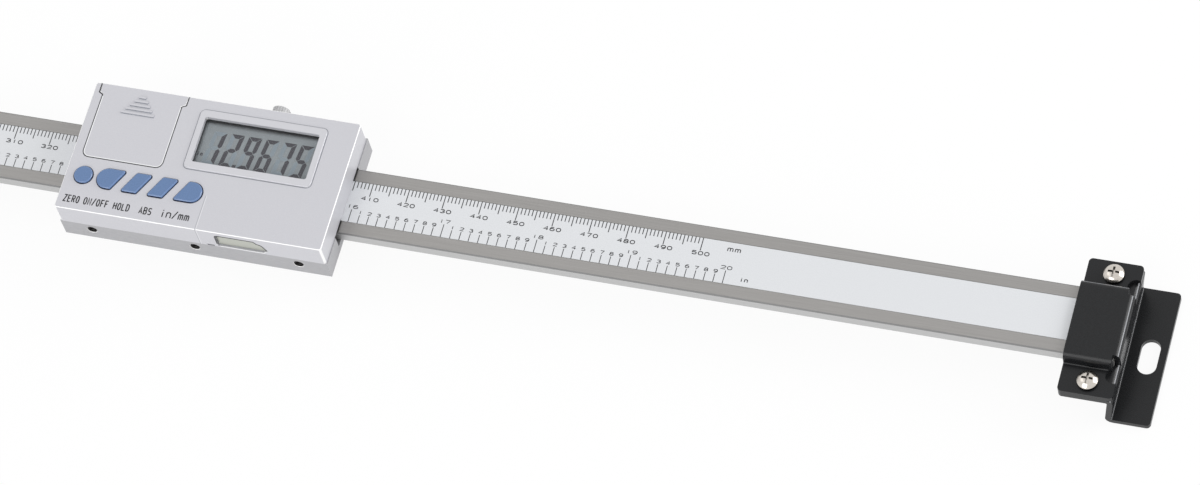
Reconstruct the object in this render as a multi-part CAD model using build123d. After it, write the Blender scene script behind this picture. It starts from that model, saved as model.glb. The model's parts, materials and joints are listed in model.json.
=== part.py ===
from build123d import *
import os

# Horizontal digital scale unit: a stainless beam with a graduated strip, held
# at both ends by pressed brackets, and a sliding readout that wraps the beam.
# Millimetres. X runs along the beam towards higher readings, Y away from the
# reader, Z up out of the display. The origin is the centre of the left
# bracket's mounting slot, on the mounting surface.

# Measuring range, free beam beyond it at each end, and reading at rest
measuring_range = 500.0
overtravel = 24.0
rest_position = 330.3

# Beam and the strip in its groove
beam_width = 19.5
beam_thickness = 3.7
beam_height = 11.8
strip_width = 12.0
stator_thickness = 0.8
film_thickness = 0.2
strip_inset = 4.0
groove_clearance = 0.12
beam_edge = 0.35

# Pressed end brackets and the clamps over the beam's ends
sheet = 1.5
bracket_width = 38.5
clamp_length = 14.3
riser_lean = 1.3
slot_from_riser = 4.45
foot_margin = 4.4
slot_width = 5.0
slot_length = 10.0
corner_radius = 1.1
clamp_clearance = 0.05
beam_end_clearance = 0.2
flap_width = 17.6
relief_radius = 2.2
relief_offset = 12.8

# Screws of the brackets
clamp_screw_offset = 15.4
clamp_screw_radius = 1.5
clamp_screw_length = 4.2
clamp_head_radius = 2.7
clamp_head_height = 1.9
screw_hole_clearance = 0.1
thread_clearance = 0.05

# Sliding block, from the beam's centreline and its top face
frame_front = 19.5
frame_back = 18.8
frame_under = 2.4
frame_over = 0.5
run_clearance = 0.05
floor_clearance = 0.1

# Three tapped holes in the front face for the part that is measured
tapped_radius = 1.25
tapped_depth = 6.0
tapped_pitch = 28.85
tapped_below = 2.0
tapped_chamfer = 0.25

# Gib strip and its leaf spring, at the beam's front edge
gib_thickness = 1.3
gib_end = 1.0
spring_thickness = 0.15
spring_rise = 0.5

# Clamping screw at the back, with its shoe
lock_place = 48.4
lock_below = 1.9
lock_thread_radius = 1.2
lock_head_radius = 2.4
lock_head_length = 5.0
lock_head_gap = 0.6
lock_head_chamfer = 0.15
lock_flute_radius = 0.2
lock_flute_count = 20
lock_shoe_radius = 1.45
lock_shoe_length = 2.2
lock_shoe_gap = 0.2
lock_fit = 0.05

# Cover of the readout
cover_height = 8.0
cover_wall = 1.5
cover_end_gap = 0.3
cover_corner = 0.8
cover_edge = 0.3
lip_clearance = 0.05

# Screws from below that hold the cover, and the bosses they go into
cover_screw_inset_x = 3.8
cover_screw_inset_y = 3.6
cover_screw_radius = 0.95
cover_screw_length = 7.6
cover_head_radius = 1.8
cover_head_height = 1.3
cover_head_recess = 1.7
cover_boss_radius = 2.2

# Circuit board over the beam
board_gap = 0.15
board_thickness = 1.0
board_end_gap = 0.1
board_side = 2.5
board_notch = 6.0
board_fit = 0.2
board_screw_radius = 0.75
board_screw_length = 4.0
board_hole_spare = 0.3
board_head_radius = 1.5
board_head_height = 0.9
board_screw_front = 14.5
board_screw_back = 13.5
board_screw_beside_lid = 2.7
board_screw_beside_port = 2.2

# Felt wipers inside the end walls
wiper_thickness = 1.5
wiper_height = 2.3
wiper_width = 11.6

# Display: rim on the cover, window, glass, its holder and contact strips
display_beside_lid = 7.5
display_margin = 10.1
display_centre_y = 6.7
display_length = 31.9
display_width = 13.6
rim_side = 1.75
rim_end = 2.15
rim_height = 0.4
rim_corner = 1.4
window_seat = 0.8
window_thickness = 0.8
window_depth = 0.7
glass_thickness = 1.8
glass_overlap = 1.0
holder_wall = 0.8
holder_fit = 0.1
contact_strip_width = 1.8
contact_strip_inset = 0.6

# Row of buttons
button_row_y = -9.05
button_row_height = 5.9
button_slant = 3.1
button_rise = 0.6
button_travel = 0.6
button_clearance = 0.22
button_flange = 0.5
button_flange_thickness = 0.7
button_flange_gap = 0.1
button_round = 0.45
button_edge = 0.25
round_button_x = 5.1
round_button_radius = 2.5
first_tile_x = 9.0
end_tile_width = 5.85
middle_tile_width = 4.3
tile_gap = 3.0
mat_thickness = 0.8
dome_radius = 1.6
dome_play = 0.1

# Battery bay, lid, cell and its contacts
lid_centre = 13.9
lid_width = 22.2
lid_front = -3.4
lid_step_y = 15.5
lid_step = 1.1
lid_step_run = 0.6
lid_thickness = 1.2
lid_lip_thickness = 1.2
lid_lip_height = 3.4
lid_tongue = 0.6
lid_tongue_thickness = 0.6
lid_corner = 1.8
lid_edge = 0.15
lid_gap = 0.2
lid_clearance = 0.1
ridge_first_y = 11.2
ridge_pitch = 1.25
ridge_longest = 9.4
ridge_shortest = 2.2
ridge_count = 5
ridge_width = 0.6
ridge_height = 0.25
cell_radius = 10.0
cell_thickness = 3.2
cell_side_gap = 0.35
cell_edge = 0.3
cell_centre_y = 6.9
bay_floor = 0.8
contact_thickness = 0.2
contact_width = 5.0
contact_fit = 0.1
contact_below_top = 0.5

# Data port in the front wall
port_left = 44.4
port_right = 58.3
port_bottom = 0.95
port_top = 6.3
port_corner = 0.9
port_tip_radius = 1.8
port_slope_top = 5.0
port_slope_run = 1.2
port_slope_bottom = 2.4
port_step = 0.7
port_clearance = 0.15
port_recess = 0.6
port_cover_thickness = 1.8
port_cover_gap = 0.3
pad_count = 5
pad_width = 0.9
pad_pitch = 1.9
pad_height = 2.6
pad_thickness = 0.25
pad_block_depth = 2.0
pad_block_height = 3.2
notch_width = 2.0
notch_left = 41.4
notch_height = 0.6
notch_depth = 0.5

# Places that follow from the sizes above
lid_end_x = lid_centre + lid_width / 2
display_centre_x = lid_end_x + display_beside_lid + display_length / 2
slider_length = display_centre_x + display_length / 2 + display_margin
tapped_first = slider_length / 2 - tapped_pitch
riser_x = slot_from_riser
clamp_inner_x = riser_x + clamp_length
scale_zero_x = clamp_inner_x + overtravel
slider_x = scale_zero_x + rest_position
right_inner_x = scale_zero_x + measuring_range + slider_length + overtravel
right_slot_x = right_inner_x + clamp_length + slot_from_riser
middle_x = right_slot_x / 2
beam_top = beam_height + beam_thickness
bend_radius = beam_edge + clamp_clearance
beam_length = right_slot_x - 2 * (riser_x + sheet + beam_end_clearance)
half_beam = beam_width / 2
strip_length = beam_length - 2 * strip_inset
saddle_inner = half_beam + clamp_clearance
clamp_middle_x = riser_x + clamp_length / 2
cover_length = slider_length - cover_end_gap
ceiling = cover_height - cover_wall
channel_front = half_beam + run_clearance + gib_thickness + spring_rise
channel_back = half_beam + run_clearance
board_top = board_gap + board_thickness
board_end = cover_wall + wiper_thickness + cover_end_gap + board_end_gap
front_inner = cover_wall - frame_front
back_inner = frame_back - cover_wall
lid_under = cover_height - lid_thickness
cell_top = lid_under - lid_clearance
cell_bottom = cell_top - cell_thickness
floor_top = cell_bottom - contact_thickness
floor_bottom = floor_top - bay_floor
window_bottom = ceiling + window_depth - window_thickness
glass_bottom = window_bottom - glass_thickness
flange_top = ceiling - button_flange_gap
flange_bottom = flange_top - button_flange_thickness
mat_top = board_top + mat_thickness


def box(x0, x1, y0, y1, z0, z1):
    size = (x1 - x0, y1 - y0, z1 - z0)
    middle = ((x0 + x1) / 2, (y0 + y1) / 2, (z0 + z1) / 2)
    return Pos(*middle) * Box(*size)


def pillar(x, y, radius, z0, z1):
    return Pos(x, y, (z0 + z1) / 2) * Cylinder(radius, z1 - z0)


def rod_along_y(x, z, radius, y0, y1):
    rod = Rot(90, 0, 0) * Cylinder(radius, y1 - y0)
    return Pos(x, (y0 + y1) / 2, z) * rod


def upright(edges):
    return edges.filter_by(Axis.Z)


def rounded_block(length, width, corner, z0, z1):
    face = RectangleRounded(length, width, corner)
    return extrude(Pos(0, 0, z0) * face, amount=z1 - z0)


def as_compound(solids):
    return Compound(children=list(solids))


# A strip of sheet bent along a path of middle-line points, square at both
# ends, with the bend radius on the inside of each bend
def bent_strip(points, plane, width):
    path = FilletPolyline(*points, radius=bend_radius + sheet / 2)
    face = trace(path, line_width=sheet)
    return extrude(plane * face, amount=width / 2, both=True)


def at_left(shape):
    return shape


# The right end is the left end turned half round about the beam's middle
def at_right(shape):
    turned = Rot(0, 0, 180) * shape
    return Pos(right_slot_x, 0, 0) * turned


def on_slider(shape):
    return Pos(slider_x, 0, beam_top) * shape


def make_beam():
    half_length = beam_length / 2
    body = box(-half_length, half_length, -half_beam, half_beam, 0, beam_thickness)
    body = chamfer(body.edges(), beam_edge)
    depth = stator_thickness + film_thickness
    groove_half = strip_width / 2 + groove_clearance
    groove_low = beam_thickness - depth
    groove_high = beam_thickness + 1
    groove = box(-beam_length, beam_length, -groove_half, groove_half, groove_low, groove_high)
    return Pos(middle_x, 0, beam_height) * (body - groove)


# The strip in the groove: the stator board below and the printed film on it
def make_strip(z0, z1):
    half = strip_width / 2
    strip = box(-strip_length / 2, strip_length / 2, -half, half, z0, z1)
    return Pos(middle_x, 0, beam_top) * strip


def make_stator_strip():
    return make_strip(-stator_thickness - film_thickness, -film_thickness)


def make_graduated_film():
    return make_strip(-film_thickness, 0)


def clamp_screw_places():
    return [(clamp_middle_x, side * clamp_screw_offset) for side in (-1, 1)]


# Clamp: a hat section over the beam, two ears, and a flap bent down over the
# beam's end, with round reliefs where the flap meets the ears
def make_clamp():
    half_ear = bracket_width / 2
    ear_z = beam_height + sheet / 2
    wall_y = saddle_inner + sheet / 2
    top_z = beam_top + sheet / 2
    hat_points = [
        (-half_ear, ear_z),
        (-wall_y, ear_z),
        (-wall_y, top_z),
        (wall_y, top_z),
        (wall_y, ear_z),
        (half_ear, ear_z),
    ]
    hat = bent_strip(hat_points, Plane.YZ, clamp_length)
    hat = Pos(clamp_middle_x, 0, 0) * hat
    bend = sheet + bend_radius
    side = wall_y + bend
    flap_room = box(riser_x - 1, riser_x + bend, -side, side, ear_z + sheet, top_z + bend)
    hat -= flap_room
    flap_x = riser_x + sheet / 2
    flap_points = [
        (riser_x + bend + sheet, top_z),
        (flap_x, top_z),
        (flap_x, beam_height),
    ]
    flap = bent_strip(flap_points, Plane.XZ, flap_width)
    side = wall_y + sheet
    low_walls = box(riser_x - 1, riser_x + bend, -side, side, 0, beam_top + bend)
    clamp = (hat - low_walls) + flap
    for y in (-relief_offset, relief_offset):
        clamp -= pillar(riser_x + bend / 2, y, relief_radius, 0, beam_top + bend)
    for x, y in clamp_screw_places():
        clamp -= pillar(x, y, clamp_screw_radius + screw_hole_clearance, 0, beam_top)
    outer = upright(clamp.edges()).filter_by(lambda e: abs(abs(e.center().Y) - half_ear) < 0.01)
    return fillet(outer, corner_radius)


# Bracket: flat under the beam and the clamp, bent down in a riser that leans
# in under the clamp, and bent out again to the foot with its mounting slot
def make_bracket():
    foot_end = -foot_margin
    points = [
        (clamp_inner_x, beam_height - sheet / 2),
        (riser_x + sheet / 2, beam_height - sheet / 2),
        (riser_x + sheet / 2 + riser_lean, sheet / 2),
        (foot_end, sheet / 2),
    ]
    bracket = bent_strip(points, Plane.XZ, bracket_width)
    slot = extrude(Rot(0, 0, 90) * SlotOverall(slot_length, slot_width), amount=sheet * 2, both=True)
    bracket -= slot
    for x, y in clamp_screw_places():
        bracket -= pillar(x, y, clamp_screw_radius, beam_height - 2 * sheet, beam_height + sheet)
    half = bracket_width / 2
    sides = upright(bracket.edges()).filter_by(lambda e: abs(abs(e.center().Y) - half) < 0.01)
    ends = sides.group_by(Axis.X)
    return fillet(ends[0] + ends[-1], corner_radius)


# Cross recess in the top of a screw's head
def cross_recess(radius, height):
    arm = Box(radius * 1.1, radius * 0.22, height)
    return Pos(0, 0, height) * (arm + Rot(0, 0, 90) * arm)


# Domed pan head, its axis along Z and its seat at z = 0
def pan_head(radius, height):
    rim = (radius, height * 0.45)
    profile = Polyline((0, height), (0, 0), (radius, 0), rim)
    profile += ThreePointArc(rim, (radius * 0.72, height * 0.86), (0, height))
    head = revolve(Plane.XZ * make_face(profile), Axis.Z)
    return head - cross_recess(radius, height)


# Flat-topped head, for the screws inside and below
def flat_head(radius, height):
    head = extrude(Circle(radius), amount=height)
    top = head.edges().group_by(Axis.Z)[-1]
    return chamfer(top, height * 0.3) - cross_recess(radius, height)


def make_clamp_screws():
    solids = []
    shank_radius = clamp_screw_radius - thread_clearance
    for place in (at_left, at_right):
        for x, y in clamp_screw_places():
            head = pan_head(clamp_head_radius, clamp_head_height)
            shank = pillar(0, 0, shank_radius, -clamp_screw_length, 0)
            seat = Pos(x, y, beam_height + sheet)
            solids.append(place(seat * (head + shank)))
    return as_compound(solids)


def cover_screw_places():
    xs = (cover_screw_inset_x, slider_length - cover_screw_inset_x)
    ys = (cover_screw_inset_y - frame_front, frame_back - cover_screw_inset_y)
    return [(x, y) for x in xs for y in ys]


# One screw between two tapped holes, one beside the port, and one between the
# lid and the display
def board_screw_places():
    first = (tapped_first + tapped_pitch / 2, -board_screw_front)
    second = (port_right + board_screw_beside_port, -board_screw_front)
    back = (lid_end_x + board_screw_beside_lid, board_screw_back)
    return [first, second, back]


# Plan of the circuit board: a rectangle with its four corners left out for
# the cover's bosses
def board_plan(grow, z0, z1):
    x0 = board_end - grow
    x1 = slider_length - board_end + grow
    y0 = board_side - frame_front - grow
    y1 = frame_back - board_side + grow
    notch = board_notch - grow
    low_x = x0 + notch
    high_x = x1 - notch
    whole = box(x0, x1, y0 + notch, y1 - notch, z0, z1)
    return whole + box(low_x, high_x, y0, y1, z0, z1)


def tapped_places():
    return [tapped_first + i * tapped_pitch for i in range(3)]


# Block that the readout rides on: a channel for the beam and its gib, and a
# shallow pocket above for the board
def make_slider_frame():
    low = -beam_thickness - frame_under
    block = box(0, slider_length, -frame_front, frame_back, low, frame_over)
    channel_floor = -beam_thickness - floor_clearance
    block -= box(-1, slider_length + 1, -channel_front, channel_back, channel_floor, frame_over + 1)
    block -= board_plan(board_fit, board_gap, frame_over + 1)
    for x in tapped_places():
        hole = rod_along_y(x, -tapped_below, tapped_radius, -frame_front, tapped_depth - frame_front)
        sink_radius = tapped_radius + tapped_chamfer
        sink = Rot(-90, 0, 0) * Cone(sink_radius, tapped_radius, tapped_chamfer)
        block -= hole
        block -= Pos(x, tapped_chamfer / 2 - frame_front, -tapped_below) * sink
    thread = rod_along_y(lock_place, -lock_below, lock_thread_radius + lock_fit, 0, frame_back + 1)
    shoe_reach = channel_back + lock_shoe_gap + lock_shoe_length + lock_fit
    pocket = rod_along_y(lock_place, -lock_below, lock_shoe_radius + lock_fit, 0, shoe_reach)
    block = block - thread - pocket
    shank_room = cover_screw_radius + screw_hole_clearance
    head_room = cover_head_radius + screw_hole_clearance
    for x, y in cover_screw_places():
        block -= pillar(x, y, shank_room, low - 1, frame_over + 1)
        block -= pillar(x, y, head_room, low - 1, low + cover_head_recess)
    board_hole_low = board_top - board_screw_length - board_hole_spare
    for x, y in board_screw_places():
        block -= pillar(x, y, board_screw_radius, board_hole_low, frame_over + 1)
    return on_slider(block)


# Low-friction strip that takes up the play at the beam's front edge
def make_gib_strip():
    y1 = -half_beam - run_clearance
    y0 = y1 - gib_thickness
    z0 = -beam_thickness
    return on_slider(box(gib_end, slider_length - gib_end, y0, y1, z0, -run_clearance))


# Leaf spring behind the gib: a bowed strip, between the gib and the channel
def make_gib_spring():
    y_wall = -channel_front
    y_gib = -half_beam - run_clearance - gib_thickness
    x0 = gib_end * 4
    x1 = slider_length - gib_end * 4
    half = spring_thickness / 2
    middle = (x0 + x1) / 2
    bow = ThreePointArc((x0, y_wall + half), (middle, y_gib - half), (x1, y_wall + half))
    face = trace(bow, line_width=spring_thickness)
    height = beam_thickness * 0.7
    strip = extrude(face, amount=height)
    return on_slider(Pos(0, 0, -beam_thickness) * strip)


# Knurled clamping screw: turning it in moves the shoe against the beam
def make_lock_knob():
    head_start = frame_back + lock_head_gap
    head = extrude(Circle(lock_head_radius), amount=lock_head_length)
    head = chamfer(head.edges(), lock_head_chamfer)
    for i in range(lock_flute_count):
        turn = Rot(0, 0, i * 360 / lock_flute_count)
        flute = turn * Pos(lock_head_radius, 0) * Circle(lock_flute_radius)
        head -= extrude(flute, amount=lock_head_length)
    head -= Pos(0, 0, lock_head_length) * Box(lock_head_radius * 3, lock_head_radius * 0.3, 1.4)
    shoe_back = channel_back + lock_shoe_gap + lock_shoe_length
    shank = rod_along_y(0, 0, lock_thread_radius, shoe_back, head_start)
    knob = Pos(0, head_start, 0) * Rot(-90, 0, 0) * head
    return on_slider(Pos(lock_place, 0, -lock_below) * (knob + shank))


def make_lock_shoe():
    y0 = channel_back + lock_shoe_gap
    return on_slider(rod_along_y(lock_place, -lock_below, lock_shoe_radius, y0, y0 + lock_shoe_length))


def make_sensor_board():
    board = board_plan(0, board_gap, board_top)
    for x, y in board_screw_places():
        board -= pillar(x, y, board_screw_radius + screw_hole_clearance, 0, board_top + 1)
    return on_slider(board)


def make_board_screws():
    solids = []
    for x, y in board_screw_places():
        head = flat_head(board_head_radius, board_head_height)
        shank_radius = board_screw_radius - thread_clearance
        shank = pillar(0, 0, shank_radius, -board_screw_length, 0)
        solids.append(on_slider(Pos(x, y, board_top) * (head + shank)))
    return as_compound(solids)


def make_cover_screws():
    solids = []
    low = -beam_thickness - frame_under + cover_head_recess
    for x, y in cover_screw_places():
        head = Rot(180, 0, 0) * flat_head(cover_head_radius, cover_head_height)
        shank = pillar(0, 0, cover_screw_radius - thread_clearance, 0, cover_screw_length)
        solids.append(on_slider(Pos(x, y, low) * (head + shank)))
    return as_compound(solids)


def lid_edges():
    return lid_end_x - lid_width, lid_end_x


# Plan of the battery lid: narrow at the front, wider along the back edge
def lid_plan(grow):
    x0, x1 = lid_edges()
    x0 -= grow
    x1 += grow
    y0 = lid_front - grow
    step_end = lid_step_y + lid_step_run
    outline = Polyline(
        (x0, y0),
        (x0, lid_step_y - grow),
        (x0 - lid_step, step_end - grow),
        (x0 - lid_step, frame_back),
        (x1 + lid_step, frame_back),
        (x1 + lid_step, step_end - grow),
        (x1, lid_step_y - grow),
        (x1, y0),
        close=True,
    )
    face = make_face(outline)
    front = face.vertices().filter_by(lambda v: abs(v.Y - y0) < 0.01)
    return fillet(front, lid_corner)


def make_battery_lid():
    x0, x1 = lid_edges()
    plate = extrude(Pos(0, 0, lid_under) * lid_plan(0), amount=lid_thickness)
    tongue_y0 = lid_front + lid_corner
    tongue_top = lid_under + lid_tongue_thickness
    step_end = lid_step_y + lid_step_run
    tongue = box(x0 - lid_tongue, x1 + lid_tongue, tongue_y0, step_end, lid_under, tongue_top)
    lip_y0 = frame_back - lid_lip_thickness
    lip_low = cover_height - lid_lip_height
    lip = box(x0 - lid_step, x1 + lid_step, lip_y0, frame_back, lip_low, cover_height)
    lid = plate + tongue + lip
    lid = chamfer(lid.faces().sort_by(Axis.Z)[-1].edges(), lid_edge)
    shrink = (ridge_longest - ridge_shortest) / (ridge_count - 1)
    for i in range(ridge_count):
        plan = SlotOverall(ridge_longest - i * shrink, ridge_width)
        place = Pos(lid_centre, ridge_first_y + i * ridge_pitch, lid_under)
        lid += extrude(place * plan, amount=lid_thickness + ridge_height)
    return on_slider(lid)


# Middle-line places of the four tiles of the button row, from left to right
def tile_spans():
    spans = []
    left = first_tile_x
    for width in (end_tile_width, middle_tile_width, middle_tile_width, end_tile_width):
        spans.append((left, left + width))
        left += width + tile_gap
    return spans


# Outline of a tile: slanted sides, or a half-round end on the outer side of
# the first and the last
def tile_plan(index):
    left, right = tile_spans()[index]
    half = button_row_height / 2
    lean = button_slant / 2
    low = button_row_y - half
    high = button_row_y + half
    if index in (1, 2):
        corners = [(left - lean, low), (left + lean, high), (right + lean, high), (right - lean, low)]
        face = make_face(Polyline(*corners, close=True))
        return fillet(face.vertices(), button_round)
    inner = right if index == 0 else left
    side = -1 if index == 0 else 1
    outer = left if index == 0 else right
    bend_x = outer - side * half
    straight = Polyline((bend_x, low), (inner - lean, low), (inner + lean, high), (bend_x, high))
    face = make_face(straight + ThreePointArc((bend_x, high), (outer, button_row_y), (bend_x, low)))
    sharp = face.vertices().filter_by(lambda v: abs(v.X - bend_x) > 0.3)
    return fillet(sharp, button_round)


def button_plans():
    round_plan = Pos(round_button_x, button_row_y) * Circle(round_button_radius)
    return [round_plan] + [tile_plan(i) for i in range(4)]


def make_button(plan):
    top = cover_height + button_rise
    stem = extrude(Pos(0, 0, flange_bottom) * plan, amount=top - flange_bottom)
    rim = stem.faces().sort_by(Axis.Z)[-1].edges()
    stem = chamfer(rim, button_edge)
    wide = offset(plan, amount=button_flange)
    flange = extrude(Pos(0, 0, flange_bottom) * wide, amount=button_flange_thickness)
    return on_slider(stem + flange)


# Rubber sheet on the board with a dome under each button
def make_button_mat():
    middles = [round_button_x] + [(a + b) / 2 for a, b in tile_spans()]
    x0 = middles[0] - dome_radius
    x1 = middles[-1] + dome_radius
    low_y = button_row_y - button_row_height / 2 - button_flange
    high_y = button_row_y + button_row_height / 2
    mat = box(x0, x1, low_y, high_y, board_top, mat_top)
    dome_top = flange_bottom - button_travel - dome_play
    for x in middles:
        dome = Cone(dome_radius, dome_radius * 0.6, dome_top - mat_top)
        mat += Pos(x, button_row_y, (dome_top + mat_top) / 2) * dome
    return on_slider(mat)


# Window of the data port in the front wall, drawn in X and Z
def port_plan(grow):
    slope_x = port_right - port_slope_bottom
    outline = Polyline(
        (port_left - grow, port_bottom - grow),
        (port_left - grow, port_top + grow),
        (slope_x - port_step + grow, port_top + grow),
        (slope_x + grow, port_slope_top + port_step / 2 + grow),
        (slope_x + port_slope_run + grow, port_slope_top + grow),
        (port_right + grow, port_slope_bottom + grow),
        (port_right - port_step + grow, port_bottom - grow),
        close=True,
    )
    face = make_face(outline)
    corner = face.vertices().group_by(Axis.X)[0]
    face = fillet(corner.sort_by(Axis.Y)[-1], port_corner)
    tip_x = slope_x + port_slope_run + grow
    tip = face.vertices().filter_by(lambda v: abs(v.X - tip_x) < 0.01)
    return fillet(tip, port_tip_radius)


def port_solid(grow, y0, y1):
    plane = Plane(origin=(0, y0, 0), x_dir=(1, 0, 0), z_dir=(0, -1, 0))
    return extrude(plane * port_plan(grow), amount=y0 - y1)


def make_port_cover():
    y0 = port_recess - frame_front
    return on_slider(port_solid(-port_clearance, y0, y0 + port_cover_thickness))


# Contact block behind the port, on the board's front edge
def make_port_contacts():
    y0 = port_recess - frame_front + port_cover_thickness + port_cover_gap
    middle = (port_left + port_right) / 2 - port_step
    half = pad_pitch * pad_count / 2
    back = y0 + pad_block_depth
    front = y0 + pad_thickness
    block = box(middle - half, middle + half, front, back, board_top, board_top + pad_block_height)
    for i in range(pad_count):
        x0 = middle + (i - (pad_count - 1) / 2) * pad_pitch - pad_width / 2
        block += box(x0, x0 + pad_width, y0, front, board_top, board_top + pad_height)
    return on_slider(block)


def display_block(grow, corner, z0, z1):
    block = rounded_block(display_length + 2 * grow, display_width + 2 * grow, corner, z0, z1)
    return Pos(display_centre_x, display_centre_y, 0) * block


# Pocket for the coin cell inside the cover, with a floor and side walls
def bay_walls():
    x0, x1 = lid_edges()
    y0 = cell_centre_y - cell_radius - cell_side_gap
    return box(x0, x1, y0 - bay_floor, back_inner + 0.1, floor_bottom, ceiling + 0.1)


def bay_pocket():
    reach = cell_radius + cell_side_gap
    y0 = cell_centre_y - reach
    return box(lid_centre - reach, lid_centre + reach, y0, back_inner, floor_top, cover_height + 1)


def make_front_cover():
    outer = box(0, cover_length, -frame_front, frame_back, frame_over, cover_height)
    outer = fillet(upright(outer.edges()), cover_corner)
    outer = fillet(outer.faces().sort_by(Axis.Z)[-1].edges(), cover_edge)
    inner = box(cover_wall, cover_length - cover_wall, front_inner, back_inner, frame_over - 1, ceiling)
    cover = outer - inner
    lip_half = wiper_width / 2
    for x0 in (0, cover_length - cover_wall):
        cover += box(x0, x0 + cover_wall, -lip_half, lip_half, lip_clearance, frame_over + 0.1)
    for x, y in cover_screw_places():
        cover += pillar(x, y, cover_boss_radius, frame_over, ceiling + 0.1)
    cover += bay_walls() - bay_pocket()
    rim_length = display_length + 2 * rim_side
    rim_width = display_width + 2 * rim_end
    rim = rounded_block(rim_length, rim_width, rim_corner, ceiling, cover_height + rim_height)
    rim = fillet(rim.faces().sort_by(Axis.Z)[-1].edges(), rim_height * 0.7)
    cover += Pos(display_centre_x, display_centre_y, 0) * rim
    cover -= display_block(0, 0.6, ceiling - 1, cover_height + 1)
    cover -= display_block(window_seat, 0.8, ceiling - 1, ceiling + window_depth)
    x0, x1 = lid_edges()
    opening = extrude(Pos(0, 0, lid_under - lid_clearance) * lid_plan(lid_gap), amount=5)
    groove_x0 = x0 - lid_tongue - lid_clearance
    groove_x1 = x1 + lid_tongue + lid_clearance
    groove_low = lid_under - lid_clearance
    groove_high = lid_under + lid_tongue_thickness + lid_clearance
    groove_y0 = lid_front + lid_corner - lid_clearance
    groove = box(groove_x0, groove_x1, groove_y0, frame_back, groove_low, groove_high)
    lip_low = cover_height - lid_lip_height - lid_clearance
    lip_y0 = frame_back - lid_lip_thickness - lid_clearance
    step = lid_step + lid_gap
    lip_room = box(x0 - step, x1 + step, lip_y0, frame_back + 1, lip_low, cover_height + 1)
    cover = cover - opening - groove - lip_room - bay_pocket()
    for plan in button_plans():
        hole = offset(plan, amount=button_clearance)
        cover -= extrude(Pos(0, 0, ceiling - 1) * hole, amount=cover_wall + 2)
    cover -= port_solid(0, -frame_front - 1, front_inner + 0.1)
    notch_right = notch_left + notch_width
    notch_y = notch_depth - frame_front
    cover -= box(notch_left, notch_right, notch_y - 1, notch_y, 0, frame_over + notch_height)
    for x, y in cover_screw_places():
        cover -= pillar(x, y, cover_screw_radius, 0, ceiling - 1)
    slot_y0 = cell_centre_y - contact_width / 2
    slot_y1 = slot_y0 + contact_width
    positive_x = lid_centre + cell_radius
    cover -= box(positive_x, positive_x + cell_side_gap, slot_y0, slot_y1, 0, floor_top + 0.1)
    negative_x = lid_centre - contact_width
    slot_x0 = negative_x - contact_fit
    slot_x1 = negative_x + contact_thickness + contact_fit
    cover -= box(slot_x0, slot_x1, slot_y0, slot_y1, 0, floor_top + 0.1)
    return on_slider(cover)


def make_display_window():
    seat = window_seat - holder_fit
    return on_slider(display_block(seat, 0.7, window_bottom, ceiling + window_depth))


def make_display_glass():
    return on_slider(display_block(glass_overlap, 0.3, glass_bottom, window_bottom))


# Plastic frame that carries the glass over the board
def make_display_holder():
    fit = glass_overlap + holder_fit
    holder = display_block(fit + holder_wall, 0.6, board_top, window_bottom - holder_fit)
    return on_slider(holder - display_block(fit, 0.3, board_top - 1, window_bottom + 1))


# Striped rubber strips that carry the signals from the board to the glass
def make_contact_strips():
    solids = []
    x0 = display_centre_x - display_length / 2
    x1 = x0 + display_length
    reach = display_width / 2 + glass_overlap - contact_strip_inset
    for y0 in (display_centre_y - reach, display_centre_y + reach - contact_strip_width):
        strip = box(x0, x1, y0, y0 + contact_strip_width, board_top, glass_bottom)
        solids.append(on_slider(strip))
    return as_compound(solids)


# Coin cell: a can with a smaller cap below, which is its negative side
def make_battery():
    step = cell_thickness * 0.25
    cap = pillar(0, 0, cell_radius * 0.88, 0, step)
    can = pillar(0, 0, cell_radius, step, cell_thickness)
    can = chamfer(can.edges(), cell_edge)
    return on_slider(Pos(lid_centre, cell_centre_y, cell_bottom) * (cap + can))


def make_negative_contact():
    half = contact_width / 2
    x0 = lid_centre - contact_width
    y0 = cell_centre_y - half
    y1 = cell_centre_y + half
    plate = box(x0, lid_centre + half, y0, y1, floor_top, cell_bottom)
    leg = box(x0, x0 + contact_thickness, y0, y1, board_top, cell_bottom)
    return on_slider(plate + leg)


def make_positive_contact():
    half = contact_width / 2
    x0 = lid_centre + cell_radius + (cell_side_gap - contact_thickness) / 2
    y0 = cell_centre_y - half
    tab_top = cell_top - contact_below_top
    return on_slider(box(x0, x0 + contact_thickness, y0, y0 + contact_width, board_top, tab_top))


def make_wiper(x0):
    half = wiper_width / 2
    return on_slider(box(x0, x0 + wiper_thickness, -half, half, run_clearance, wiper_height))


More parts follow.
